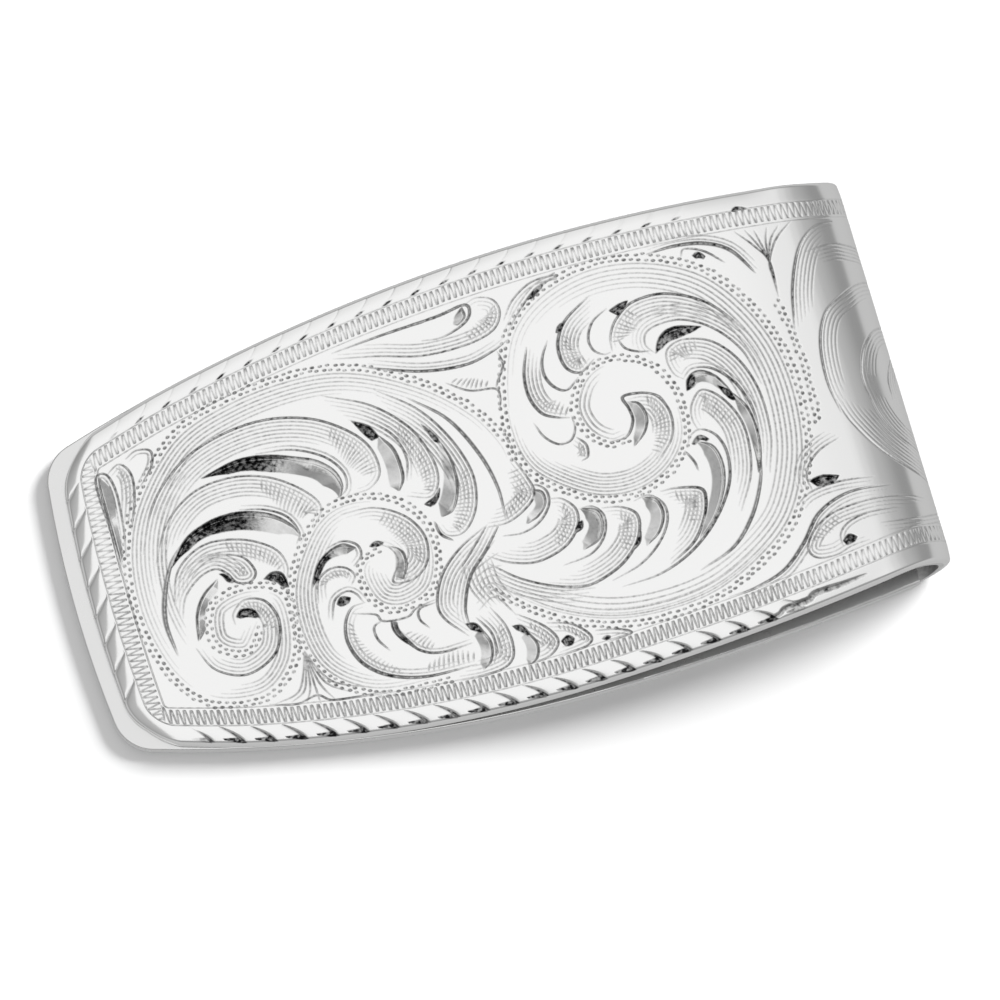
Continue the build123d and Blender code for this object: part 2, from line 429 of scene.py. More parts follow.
def engrave_middle_scroll():
    """The small scroll between the two large ones, and the stem that crosses below it."""
    edge = smooth_line([(19.8, -2.2), (18.5, -2.6), (18.1, -3.9), (18.7, -5.8), (20.3, -6.6), (22.3, -6.1),
                        (23.4, -4.6), (23.7, -2.6), (23, -0.4), (21.2, 1.2), (18.8, 1.8), (16.7, 1.3),
                        (14.9, -0.4), (13.4, -3), (13, -6), (13.6, -8.8), (15.4, -10.8), (18, -11.9),
                        (22.6, -12.2)])
    beads(edge)
    shade(edge, -1, 6, first=0.4, start=0.42, end=0.96, gap=0.26)
    shade(edge, -1, 6, first=0.4, start=0.02, end=0.3, gap=0.26)
    leaf([(19.8, -1.7), (20.7, -2.4), (20.9, -3.4), (20.2, -4.6), (21.6, -4.8), (22.8, -3.9), (23.1, -2.2),
          (22.2, -0.5), (20.3, 0.7), (18, 0.9)], -1, 5, hatched=(0.42, 0.8), reach=1.7)
    gouge([(20.5, -2.1), (21.3, -2.7), (21.4, -3.7), (20.9, -4.6)], [(20.5, -2.2), (20.8, -3), (20.3, -4.6)],
          GREY)
    gouge([(19.3, -1.8), (19.8, -1.6), (20.3, -1.8)], [(19.4, -1.9), (19.9, -1.95), (20.3, -1.9)], BLACK)
    gouge([(14.8, -3.4), (15.6, -2), (16.6, -1.3), (17.6, -1.1), (18.4, -1.6)],
          [(15.1, -3.3), (16.2, -2), (17.3, -1.8), (18.1, -2)], BLACK, lighten_from=0.6)
    leaf([(16.4, -1.1), (17.6, -0.9), (18.5, -1.4), (18.6, -2.2), (17.9, -2.8)], 1, 1)
    leaf([(14.9, -4.6), (15.3, -3.1), (16.3, -2.5), (17.3, -2.7), (17.8, -3.4), (17.4, -4)], 1, 2,
         hatched=(0.2, 0.8), reach=0.8)
    leaf([(15.5, -6), (16, -4.7), (16.9, -4.3), (17.5, -4.6), (17.9, -5.4)], -1, 1)
    gouge([(16.1, -5), (16.5, -4.6), (17.1, -4.8)], [(16.2, -5.2), (16.6, -5.2), (17, -5.1)], BLACK)
    leaf([(18, -5.4), (17, -5.5), (16.3, -6.4), (16.1, -7.8), (16.7, -9.4), (18.2, -10.7), (20.6, -11.5),
          (24.1, -11.7)], -1, 2, hatched=(0.15, 0.6), reach=1.0, weight=1.8)
    leaf([(16.9, -5.9), (18.4, -6.4), (18.8, -7), (20.4, -7.2), (21.2, -6.8), (22.6, -6.6)], 1, 0)
    leaf([(18.9, -6.9), (18.1, -7.2), (18.1, -8.1), (18.7, -9.1)], 1, 0)
    gouge([(19.3, -7.1), (19.3, -7.8), (19.7, -8.6), (20.5, -9.5)],
          [(19.7, -7.1), (19.7, -7.9), (20.3, -9.1)], 0.8)
    leaf([(19.5, -8.1), (20.6, -9.6), (22, -10.2), (24.2, -10.2)], -1, 1, hatched=(0.05, 0.5), reach=1.1,
         weight=1.3)
    hatch(smooth_line([(20.6, -11.4), (22.4, -11.6), (24.1, -11.6)]), -1, 0, 1, 1.3)
    leaf([(22.6, -6.8), (21.4, -6.9), (21.2, -7.6), (21.7, -8.4)], -1, 0)
    leaf([(27.2, -2.8), (25.2, -3.7), (23.6, -5), (22.7, -6.7), (22.8, -8), (24.1, -9.7)], -1, 4, weight=1.2)
    leaf([(28.2, -2.9), (26.8, -4.4), (25.3, -5.8), (24.4, -7.7), (24.3, -9.1)], 1, 2, weight=1.6)
    leaf([(27.4, -2.7), (26, -4), (25, -4.9), (24.5, -5.2)], -1, 0)
    for number in range(7):
        lower = -5.2 - 0.5 * number
        fine_stroke(smooth_line([(25.2, lower), (26.5, lower + 0.55), (27.6, lower + 1.3 - 0.4 * number)]))
        fine_stroke(smooth_line([(25 + 0.33 * number, -4.9), (25.1 + 0.33 * number, -6.6),
                                 (25.8 + 0.33 * number, -8.2)]))
    leaf([(24, -1.4), (24.2, -2.4), (24.9, -3.1)], 1, 0, weight=1.3)


def engrave_lower_cluster():
    """The small leaves between the stem and the lower border."""
    gouge([(24.1, -8.8), (24.7, -9), (25.1, -9.6)], [(24.2, -9.2), (24.6, -9.5), (25, -9.7)], BLACK)
    gouge([(25, -9.4), (25.4, -10.6), (25.1, -11.7), (24.4, -12.2)],
          [(24.4, -9.5), (24.6, -10.8), (24.2, -12)], GREY)
    leaf([(24.9, -8.6), (25.6, -9.9), (25.6, -11.1), (25.2, -12)], -1, 1)
    leaf([(26, -8.2), (26.7, -9.9), (26.7, -11.6), (26, -12.4), (24.4, -12.6), (22.5, -12.4)], 1, 4,
         hatched=(0.15, 0.55), reach=1.0)
    gouge([(27.1, -9.9), (27.7, -10.1), (28.1, -10.8)], [(27.2, -10.2), (27.6, -10.5), (28, -10.9)], BLACK)
    gouge([(28, -10.6), (28.4, -11.6), (28.1, -12.5), (27.4, -12.8)],
          [(27.4, -10.6), (27.6, -11.6), (27.3, -12.6)], GREY)
    leaf([(27.6, -9.2), (29.2, -10.6), (29.8, -11.8), (29, -12.6), (27.4, -12.8)], 1, 4, hatched=(0.15, 0.7),
         reach=0.9)
    leaf([(29.4, -10.4), (31, -11), (32, -12.1), (31.6, -12.7), (29.5, -12.9)], 1, 2, hatched=(0.1, 0.6),
         reach=0.7)
    gouge([(30, -11.9), (30.5, -11.7), (30.9, -12)], [(30.1, -12.3), (30.5, -12.4), (30.8, -12.3)], BLACK)
    leaf([(32.4, -11.9), (34, -12.3), (34.7, -12.8), (33, -12.9)], 1, 1)
    gouge([(32.7, -12.6), (33, -12.5), (33.3, -12.6)], [(32.8, -12.7), (33, -12.75), (33.3, -12.7)], BLACK)


def engrave_right_scroll():
    """The largest scroll, in the middle of the leaf."""
    edge = smooth_line([(38.3, 0), (37, 0), (35.7, 1.2), (35.3, 3.1), (36.3, 4.9), (38, 5.7), (40, 5.3),
                        (41.7, 3.8), (42.4, 1.6), (42.1, -1), (40.5, -2.9), (38, -3.8), (35.2, -3.4),
                        (32.6, -1.7), (31, 0.2), (30.5, 2.8), (31, 6.2), (32.5, 9.6), (35.2, 11.6),
                        (39, 12.4), (43, 11.7), (46.5, 9.7), (48.8, 6.6), (50.1, 3), (50.3, -1), (49.5, -5),
                        (47.3, -8.8), (43.5, -11.3), (39.5, -12.4), (34.5, -12.1), (30, -10.2), (26, -6.8)])
    beads(edge)
    shade(edge, 1, 6, first=0.45, start=0.36, end=0.99, gap=0.33)
    shade(stretch(edge, 0.78, 1), 1, 4, first=0.62, gap=0.4)
    shade(edge, 1, 7, first=0.35, start=0.16, end=0.36, gap=0.24)
    shade(edge, 1, 3, first=0.4, start=0, end=0.09, gap=0.32)
    leaf([(41.4, 1.6), (41, 2.3), (40, 2.8), (38.7, 2.9), (38.9, 2), (38.9, 1.1), (38.2, 0.2), (37, 0.2)],
         -1, 0, weight=1.4)
    leaf([(38.8, 2.9), (40, 2.8), (41, 2.2), (41.5, 0.8), (41.1, -0.8), (39.8, -2)], 1, 5,
         hatched=(0.2, 0.95), reach=1.3)
    gouge([(38.8, 2.5), (39.6, 2.2), (39.9, 1.2), (39.5, 0.2), (38.5, -0.6)],
          [(38.9, 2.2), (39.1, 1.1), (38.5, -0.3)], GREY)
    engrave_right_scroll_leaves()
    engrave_right_scroll_lower_leaves()


def engrave_right_scroll_leaves():
    """The leaves over and to the right of the eye of the largest scroll."""
    leaf([(32.4, 3), (32.8, 1.9), (33.6, 1.1), (34.5, 1.1), (35, 1.8), (35, 2.7)], -1, 0)
    leaf([(34.9, 1.2), (35.4, 0.5), (35.3, -0.3), (34.8, -0.5)], 1, 2, hatched=(0.1, 0.9), reach=0.8)
    leaf([(33.4, 8.2), (32.7, 6.4), (32.6, 4.8), (33.1, 3.5), (34, 2.9), (34.9, 2.6)], -1, 4,
         hatched=(0.55, 0.98), reach=1.2, weight=1.5)
    leaf([(34.9, 8.2), (34.2, 7.1), (34, 6), (34.4, 5), (35.2, 4.5), (36.2, 5.1)], -1, 0, weight=1.3)
    leaf([(38.5, 10.3), (36.5, 9.2), (35.6, 8), (35.4, 6.8), (35.7, 5.8), (36.5, 5.4), (37.6, 6)], -1, 5,
         hatched=(0.4, 0.95), reach=1.4, weight=1.5)
    gouge([(35.6, 8.5), (35.9, 8.9), (36.3, 9.1)], [(35.8, 8.4), (36.1, 8.7), (36.3, 9)], BLACK)
    leaf([(39.4, 9.1), (38.2, 8.5), (37.6, 7.5), (37.7, 6.6), (38.3, 6.1), (38.8, 6.1)], -1, 0)
    gouge([(39.5, 8.9), (40.2, 9.1), (40.9, 9.2)], [(39.9, 8.3), (40.2, 8.5), (40.8, 9)], BLACK)
    leaf([(38.9, 6.1), (39.1, 7.2), (39.8, 8.2), (41.2, 9), (43.5, 8.9), (46, 7.5), (48, 5)], 1, 5,
         hatched=(0.04, 0.28), reach=1.6, weight=1.4)
    leaf([(39.5, 6.9), (39.8, 6.1), (40.6, 5.6), (41.4, 5.4)], -1, 0)
    leaf([(41.7, 5.1), (41.2, 5.9), (41.5, 6.7), (42.6, 7), (44.2, 6.8), (46, 5.6), (47.4, 3.6), (48, 1)],
         -1, 4)
    gouge([(41.7, 5.1), (42.1, 5.9), (42.7, 6.4), (43.5, 6.5), (44.3, 6.3), (45.2, 6)],
          [(41.9, 5.1), (42.7, 5.6), (43.6, 5.7), (45.1, 5.9)], BLACK)
    leaf([(43.1, 2.8), (42.5, 3.4), (42.3, 4.4), (42.6, 5.2), (43.8, 5.5), (45.6, 4.8), (47, 3), (47.7, 0.5),
          (47.6, -2.5), (46.8, -5)], 1, 5, hatched=(0.1, 0.3), reach=1.4)
    leaf([(43, 2.9), (43.8, 3.4), (45.1, 3), (46.3, 1.6), (46.9, -0.3), (46.9, -2.4)], -1, 1, weight=1.3)
    gouge([(43, 2), (43.4, 2.9), (44.2, 3.1), (45.1, 2.5), (45.8, 1.3)],
          [(43.3, 1.9), (43.9, 2.3), (44.6, 2.1), (45.3, 1.3)], GREY)
    gouge([(43, 2), (43.3, 2.8), (43.8, 2.9)], [(43.1, 2), (43.5, 2.2), (43.8, 2.6)], BLACK)
    gouge([(45.1, 1.8), (45.7, 1.3), (46, 0.5)], [(45.3, 1.2), (45.6, 0.7), (45.9, 0.4)], BLACK)
    gouge([(45.9, 1), (46.6, -0.2), (46.8, -1.8), (46.6, -3.4), (46.1, -4.8)],
          [(45.9, 0.2), (46.2, -1.5), (46.3, -3.3)], GREY)
    stroke(smooth_line([(46.6, -3.4), (46, -5.4), (44.8, -7.5), (43, -9.2), (40.4, -10.1)]), 0.22, 0.09, 0.8)
    leaf([(43, -0.9), (42.8, 0.1), (43.1, 1.1), (44, 1.8), (45.1, 0.9), (45.9, -0.8), (46, -2.6),
          (45.5, -4.8), (44.2, -7)], 1, 5, hatched=(0.2, 0.5), reach=1.5)


def engrave_right_scroll_lower_leaves():
    """The leaves under the eye of the largest scroll."""
    leaf([(42, -1.6), (42.4, -1), (43.2, -0.8), (44.1, -1.6), (44.4, -3.1), (43.9, -5), (42.4, -7),
          (40.3, -8.6), (37.8, -9.5), (35, -9.6)], 1, 0, weight=1.4)
    gouge([(42.3, -1.6), (42.9, -1.2), (43.5, -1.6)], [(42.4, -1.8), (42.9, -1.5), (43.4, -1.8)], BLACK)
    gouge([(42.6, -1.5), (43.6, -2.1), (43.9, -3.5), (43.5, -5.1), (42.4, -6.8), (41, -8)],
          [(42.6, -1.9), (43, -3), (42.9, -4.4), (42.2, -5.9), (41, -7.6)], GREY)
    leaf([(41.7, -1.9), (42.1, -2.8), (42.2, -3.5)], 1, 0)
    leaf([(39.3, -4.1), (40.5, -4.2), (42, -4.7), (42.1, -5.6), (41.6, -6.8), (40.5, -8.1), (38.6, -9.1)],
         1, 5, hatched=(0.1, 0.6), reach=1.6, weight=1.6)
    gouge([(38, -4.1), (38.9, -4.5), (39.1, -5.6), (38.5, -6.7), (37.4, -7.4)],
          [(38, -4.5), (38.2, -5.6), (37.2, -7.1)], GREY)
    leaf([(37.4, -4.2), (38.5, -4.1), (39.3, -5), (39.2, -6.2), (38.2, -7.5), (36.6, -8.5), (34.5, -9)],
         1, 0)
    leaf([(35.2, -4), (36.4, -4.3), (37.3, -5), (37.3, -6), (36.6, -7.2), (35, -8.3), (32.6, -8.8),
          (30, -8)], 1, 5, hatched=(0.1, 0.45), reach=1.5, weight=1.4)
    gouge([(37.3, -6.3), (37, -7), (36.5, -7.4)], [(37.1, -6.4), (36.8, -6.9), (36.5, -7.2)], BLACK)
    gouge([(33.8, -3.6), (34.8, -4), (35, -5), (34.4, -6), (33.2, -6.4)],
          [(33.9, -4.2), (34, -5), (33.1, -6)], GREY)
    leaf([(33.6, -3.6), (34.6, -3.7), (35.2, -4.6), (34.8, -5.9), (33.6, -6.8), (31.6, -7)], 1, 0)
    leaf([(31.9, -2.3), (32.8, -2.6), (33.5, -3.6), (33.2, -4.8), (32, -5.8), (30, -6.2), (28.2, -5.7),
          (26.8, -4.8)], 1, 5, hatched=(0.1, 0.5), reach=1.4, weight=1.2)
    gouge([(33.7, -4.4), (33.5, -4.9), (33, -5.1)], [(33.5, -4.4), (33.2, -4.7), (33, -4.9)], BLACK)
    gouge([(30.9, -1.3), (31.6, -1.7), (31.6, -2.5), (30.9, -3.2), (30, -3.5)],
          [(30.9, -1.7), (30.9, -2.5), (30, -3.1)], GREY)
    leaf([(30.6, -1.8), (31.2, -1.1), (31.9, -1.7), (31.8, -2.7), (30.9, -3.6), (29.6, -4), (28.2, -3.8)],
         1, 0)
    leaf([(26.6, -5.2), (28.6, -7), (31, -8.3), (33.5, -8.9)], 1, 4)


def engrave_corners():
    """The leaves that fill the corners between the scrolls and the border."""
    leaf([(2.6, 1), (2.7, 4), (2.6, 7), (2.8, 8.1), (3.5, 8), (3.8, 6.6), (3.6, 4), (3.2, 2)], 1, 1)
    gouge([(2.8, 1.6), (2.8, 4), (2.75, 6.6), (2.9, 8)], [(3, 1.6), (3.3, 4), (3.6, 6.4), (3.4, 7.9)], GREY)
    leaf([(3.5, 8), (4.5, 8.5), (5.1, 7.6), (4.9, 6), (4.1, 3.8)], 1, 3, hatched=(0.1, 0.7), reach=0.8)
    leaf([(5, 8.7), (5.9, 9.1), (6.8, 8.8), (6.6, 7.8), (5.5, 6.6)], 1, 1)
    for tip in ((10.2, -10.4), (11.3, -10.6), (12.3, -10.9), (13.2, -11.3), (14.2, -11.2), (15.3, -11),
                (16.4, -11)):
        bow = (tip[0] - 13.1) * 0.18
        leaf([(13.1, -7.4), (13.1 + bow, -9), (13.1 + 2.4 * bow, -10.1), tip], 1, 0, weight=0.8)
    leaf([(9.8, -10.3), (11.6, -10.8), (13.1, -10.6), (14, -11.2), (16, -11.5), (18, -11.7)], 1, 0)
    leaf([(20.5, 11.8), (24, 12), (28, 12.1), (30.1, 12.3), (30.3, 11.6), (29.6, 11), (28, 10.6),
          (26.6, 10.8)], 1, 0, weight=1.5)
    gouge([(29.9, 12.2), (29.9, 11.5), (29.3, 11.1)], [(29.3, 11.8), (29.1, 11.4), (29, 11.1)], GREY)
    leaf([(30.1, 12.3), (31.1, 12.5), (32.1, 12), (32.3, 11), (31.5, 10), (29.5, 9.6), (26.4, 9.8),
          (23.4, 10.7), (20.5, 11.4)], 1, 3, hatched=(0.15, 0.4), reach=1.2)
    leaf([(22.4, 10.2), (26, 8.8), (29, 8.3), (31, 8.6), (32.4, 9.1)], -1, 2, weight=1.6)
    leaf([(31.4, 8.5), (31.5, 7.5), (30.9, 6.6), (30.6, 6.1)], 1, 0)
    leaf([(27.4, 7.5), (28.8, 6.5), (30.5, 6.1), (30.7, 5.4), (30.4, 4.6)], -1, 0, hatched=(0.05, 0.6),
         reach=0.9)
    leaf([(32.4, 9.5), (33.7, 10.8), (35.2, 11.9), (36.8, 12.3), (35, 12.4), (33.4, 11.6), (32.4, 10.4)],
         -1, 1)
    gouge([(34.5, 11.3), (35, 11.8), (35.7, 12)], [(34.7, 11.2), (35.1, 11.5), (35.6, 11.8)], BLACK)
    leaf([(43, 11.9), (45, 11.9), (47, 11.5), (48.6, 10.5), (49.8, 8.5)], -1, 2, weight=2.0)
    leaf([(45.2, 11), (45.6, 11.5), (46.8, 11), (48, 9.8)], 1, 0)
    gouge([(46, 10.9), (46.4, 11), (46.8, 10.6)], [(46.1, 10.6), (46.4, 10.6), (46.7, 10.4)], BLACK)
    for number, tip in enumerate(((49.2, 11.7), (49.9, 11.6), (50.5, 11.4), (51.4, 11.4), (52.2, 11.3),
                                  (53.2, 11.4))):
        leaf([(50.8, 6.5 + 0.3 * number), (50.9, 9), (0.4 * tip[0] + 30.5, 10.4), tip], 1, 0, weight=0.9)
    leaf([(41.7, -12.4), (43.6, -12.3), (45.8, -11.7), (47.6, -10.3), (49.2, -8.6), (51.5, -7.8),
          (54.5, -8)], 1, 2, weight=1.8)
    leaf([(47.8, -7.8), (49, -7.1), (51, -6.9), (53.5, -7.2)], 1, 2)
    gouge([(49.2, -6.3), (50.1, -6.2), (51.2, -6.5)], [(49.4, -6.8), (50.2, -6.9), (51.1, -6.8)], BLACK)
    leaf([(49.2, -7), (49.1, -6), (49.6, -5.1), (50.6, -4.4), (52, -4)], -1, 3)
    leaf([(52, -11.3), (50.7, -11.4), (49.5, -11.7), (48.2, -11.5), (47.8, -10.7), (48.6, -9.6),
          (50.4, -8.8), (53.6, -8.7), (57, -9.3)], 1, 3, hatched=(0.35, 0.55), reach=1.0)
    leaf([(50.1, -11.3), (50.2, -10.4), (50.9, -9.8), (52.3, -9.5), (54.6, -9.6)], 1, 1)
    gouge([(50.2, -10.9), (50.7, -10.6), (51.2, -10.9)], [(50.3, -11.3), (50.8, -11.2), (51.1, -11.1)],
          BLACK)
    beads(smooth_line([(50.6, 6.2), (51.1, 3), (51.1, 0), (50.9, -3)]))
    gouge([(49.4, 13.1), (49.8, 13.3), (50.5, 13)], [(49.5, 13), (49.9, 13.05), (50.4, 12.95)], BLACK)
    stroke(smooth_line([(43.4, -14.7), (44.6, -14.5), (45.2, -14.2), (46.8, -14.1), (47.4, -13.8),
                        (49.4, -13.7), (51.2, -13.5)]), 0.42, 0.12, BLACK)


def engrave_bend():
    """The leaves that run over the bend."""
    leaf([(51.2, 4), (51.9, 6.9), (53.1, 9.4), (54.6, 10.6), (56.2, 10.8)], 1, 5, weight=1.4)
    leaf([(52.6, -2.4), (52.3, 0), (52.6, 2.6), (53.5, 4.5), (55, 5.5), (57, 6.2), (60, 6.4)], 1, 4,
         weight=1.4)
    leaf([(52.4, -1), (53.2, -3.4), (55, -6), (58, -8), (61, -8.6)], -1, 6, weight=1.2)
    leaf([(54.8, -1.4), (54.9, 0.2), (55.8, 1.9), (57.4, 2.9), (60, 3)], 1, 4, weight=1.4)
    leaf([(54.8, -1), (55.3, -3.2), (56.6, -5), (59, -6.2), (61, -6.4)], -1, 4)
    leaf([(56.8, -2.2), (57, -0.6), (58.4, 0.8), (60.4, 1)], 1, 3)
    leaf([(53.4, 9), (55.4, 9.2), (58, 8.8), (61, 8.4)], 1, 4)
    leaf([(53, -10.4), (56, -10.6), (59, -10.4), (61.5, -10.6)], 1, 2)


engrave_left_scroll()
engrave_middle_scroll()
engrave_lower_cluster()
engrave_right_scroll()
engrave_corners()
engrave_bend()


# ---------------- the border

# a rope rim, and inside it a zigzag wriggle cut between two plain lines
STRAND_PITCH = 2.05
STRAND_LEAN = 1.3           # how far a strand runs on while it crosses the rim
STRAND_DEPTH = 0.08
STRAND_BULGE = 0.06         # the strands are rounded across their length
FAR_STRAND_SHARE = 0.15     # the far side's strands are barely cut
TAIL_START = 0.45           # a dark tail, painted shade, runs along the outer edge from here to the strand's heel
TAIL_PLACE = 0.42
STRAND_START = 4.8          # the rope dies away near the corners and before the bend
STRAND_END = 44.5
END_STRAND_REACH = 7.2
LINE_PLACE = 1.38           # this and the next places are distances from the cut edge
WRIGGLE_OUTER = 1.45
WRIGGLE_INNER = 2.5
WRIGGLE_PITCH = 0.44
INNER_LINE_PLACE = 2.66
FINE_LINE = 0.05            # half width of the plain lines
INK_SPREAD = 0.02           # the outer one is dull a little beyond that
LINE_DEPTH = 0.05
# the border's cuts are painted dark: painted shade and dark reflection, with some tarnish
PLAIN_LINE_DARKENING = 0.55
WRIGGLE_DEPTH = 0.05
WRIGGLE_DARKENING = 0.72
END_STRAND_DARKENING = 0.12
BEND_FLATTENING = 0.75      # the bevel dies away over the bend
EDGE_ROUND = 0.32           # the outer edge is rounded over down to EDGE_DEPTH
EDGE_DEPTH = 0.85


def ridge(distance, half_width):
    """One on a line, falling to nothing at half_width from it."""
    return np.clip(1 - np.abs(distance) / half_width, 0, 1)


def rope(station, offset, edge):
    """Where along its strand each point of the rim is, and how strongly the rope is cut there."""
    on_side = fade(station, STRAND_START - 1, STRAND_START + 1)
    on_side = on_side * (1 - fade(station, STRAND_END, STRAND_END + 3))
    on_end = 1 - fade(np.abs(offset), END_STRAND_REACH, END_STRAND_REACH + 1.2)
    on_end = on_end * (station < RIM_WIDTH + 1)
    side_run = station - STRAND_LEAN * (1 - np.clip(edge / RIM_WIDTH, 0, 1) ** 2)
    end_run = offset + STRAND_LEAN * (1 - edge / RIM_WIDTH)
    run = np.where(on_end > 0, end_run, side_run) / STRAND_PITCH
    return run - np.floor(run), np.maximum(on_side, on_end) * (edge < RIM_WIDTH), on_end > 0


def plain_lines(edge, outer_width):
    """The border's two plain lines; outer_width is half the width of the outer one."""
    outer = ridge(edge - LINE_PLACE, outer_width)
    inner = ridge(edge - INNER_LINE_PLACE, FINE_LINE)
    return np.maximum(outer, inner)


def wriggle(station, offset, edge):
    """The zigzag line between the border's two plain lines."""
    width = WRIGGLE_INNER - WRIGGLE_OUTER
    rise = np.clip((edge - WRIGGLE_OUTER) / width, 0, 1)
    along = np.where(station < WRIGGLE_INNER + 0.2, offset, station) / WRIGGLE_PITCH
    share = along - np.floor(along)
    swing = np.minimum(np.abs(share - rise / 2), np.abs(share - 1 + rise / 2)) * WRIGGLE_PITCH
    heel = np.abs(2 * rise - 1)
    inside = (edge > WRIGGLE_OUTER) & (edge < WRIGGLE_INNER)
    faint = np.where(offset > 0, 0.45, 0.9 - 0.7 * fade(station, STRAND_END, STRAND_END + 6))
    return ridge(swing, 0.07 + 0.05 * heel) * (faint + (1 - faint) * heel**1.5) * inside


def border_depth(station, offset, edge):
    """Depth of the bevelled rim and of the border's cuts."""
    share, strength, on_end = rope(station, offset, edge)
    across = np.clip(edge / RIM_WIDTH, 0, 1)
    from_middle = np.abs(2 * share - 1)
    swell = STRAND_DEPTH * from_middle**10 + STRAND_BULGE * from_middle**2
    swell = swell * np.sin(math.pi * np.clip(across * 0.9 + 0.1, 0, 1)) ** 0.5
    strength = strength * np.where((offset > 0) & ~on_end, FAR_STRAND_SHARE, 1)
    flattening = BEND_FLATTENING * fade(station, BEND_START - 2, BEND_START + 3)
    bevel = RIM_DEPTH * (1 - across) ** 1.5 * (1 - flattening)
    turn = np.clip(1 - edge / EDGE_ROUND, 0, 1)
    bevel = bevel + (EDGE_DEPTH - RIM_DEPTH) * (1 - np.sqrt(1 - turn**2))
    lines = LINE_DEPTH * plain_lines(edge, FINE_LINE)
    return bevel + swell * strength + WRIGGLE_DEPTH * wriggle(station, offset, edge) + lines


def border_shade_and_tarnish(station, offset, edge):
    """The painted shade and tarnish of the border's cuts: the strands are painted darkest at their heels on
    the near side.
    """
    share, strength, on_end = rope(station, offset, edge)
    across = np.clip(edge / RIM_WIDTH, 0, 1)
    near_side = (offset < 0) & ~on_end
    far_side = (offset > 0) & ~on_end
    heel_width = 0.06 + 0.34 * (1 - across) ** 2
    cut = np.minimum(2.5 * ridge(np.minimum(share, 1 - share) * STRAND_PITCH, heel_width), 1)
    tail = np.clip((share - TAIL_START) / (1 - TAIL_START), 0, 1)
    tail_line = (tail > 0) * np.minimum(3 * ridge(edge - TAIL_PLACE + 0.08 * tail, 0.07 + 0.18 * tail), 1)
    heel = near_side * np.maximum(cut * (0.7 + 0.3 * (1 - across)), tail_line) * (edge > 0.2)
    notch = far_side * np.minimum(
        2.5 * ridge(share * STRAND_PITCH - 0.3, 0.3) * ridge(edge - RIM_WIDTH + 0.1, 0.16), 1)
    end_cut = on_end * END_STRAND_DARKENING * cut
    lines = PLAIN_LINE_DARKENING * plain_lines(edge, FINE_LINE + INK_SPREAD)
    shade_and_tarnish = np.maximum(strength * np.maximum(heel, np.maximum(notch, end_cut)), lines)
    return np.maximum(shade_and_tarnish, WRIGGLE_DARKENING * wriggle(station, offset, edge))


# ---------------- the strip as meshes

CELL = 0.05                 # spacing of the mesh points
WALL_STEPS = (0.3, 0.6, 0.85)           # the cut edge, as shares of the way down
UNDERSIDE_STEPS = np.linspace(-1, 1, 9)
END_CAPS = (0.0, 0.1, 0.35)             # height of the rows that close the free end
FRONT_PIECES = 8
BEND_PIECES = 2
EDGE_PAINTED_SHADE = 0.3              # painted shade: the cut edges and the underside are painted darker than the face
BEND_BRIGHTENING = 0.7      # the cuts' painted shade and tarnish is made lighter over the bend

# every row is a closed loop: over the top, down one edge, back along the underside and up the other edge
top_across = np.linspace(1, -1, int(2 * FRONT_HALF_WIDTH / CELL))
column_across = np.concatenate([top_across, -np.ones(len(WALL_STEPS)), UNDERSIDE_STEPS,
                                np.ones(len(WALL_STEPS)), [1.0]])
column_drop = np.concatenate([np.zeros(len(top_across)), WALL_STEPS, np.ones(len(UNDERSIDE_STEPS)),
                              WALL_STEPS[::-1], [0.0]])
row_station = np.concatenate([np.zeros(len(END_CAPS)), np.linspace(0, BEND_END, int(BEND_END / CELL))])
row_cap = np.concatenate([END_CAPS, np.full(len(row_station) - len(END_CAPS), THICKNESS)])


def read_map(picture, s, t):
    """The value of a map between its cells at points (s, t)."""
    row = np.clip(s / MAP_CELL, 0, MAP_SHAPE[0] - 1.001)
    column = np.clip((t + MAP_HALF_WIDTH) / MAP_CELL, 0, MAP_SHAPE[1] - 1.001)
    i = row.astype(int)
    j = column.astype(int)
    a = row - i
    b = column - j
    return ((picture[i, j] * (1 - a) + picture[i + 1, j] * a) * (1 - b)
            + (picture[i, j + 1] * (1 - a) + picture[i + 1, j + 1] * a) * b)


def blurred(picture):
    """A map with each cell averaged with its neighbours, so that strokes keep even widths on the mesh."""
    for axis in (0, 1):
        picture = (np.roll(picture, 1, axis) + 2 * picture + np.roll(picture, -1, axis)) / 4
    return picture


def mesh_fields():
    """Position, normal, painted shade and tarnish, and satin of every point of the strip's mesh, as grids of
    rows and columns.
    """
    s, across = np.meshgrid(row_station, column_across, indexing="ij")
    drop = np.broadcast_to(column_drop, s.shape)
    station, offset, edge = lay_out(s, across)
    cut = read_map(blurred(cut_map), station, offset) + border_depth(station, offset, edge)
    # painted shade and tarnish of the cuts and the border
    darkening = np.maximum(read_map(blurred(shade_and_tarnish_map), station, offset), border_shade_and_tarnish(station, offset, edge))
    darkening = darkening * (1 - BEND_BRIGHTENING * fade(station, BEND_START - 1, BEND_START + 1.5))
    depth = cut * (1 - drop) + THICKNESS * drop
    depth = np.maximum(depth, THICKNESS - row_cap[:, None])
    x, z, normal_x, normal_z = strip_line(station)
    points = np.stack([x - normal_x * depth, offset, z - normal_z * depth], -1)
    normals = np.cross(np.gradient(points, axis=1), np.gradient(points, axis=0))
    normals /= np.maximum(np.linalg.norm(normals, axis=-1), 1e-12)[..., None]
    # the cut edges and the underside get painted shade in place of the cuts' darkening
    return points * MM, normals, np.where(drop > 0, EDGE_PAINTED_SHADE, darkening), np.where(drop > 0.9, 1.0, 0.0)


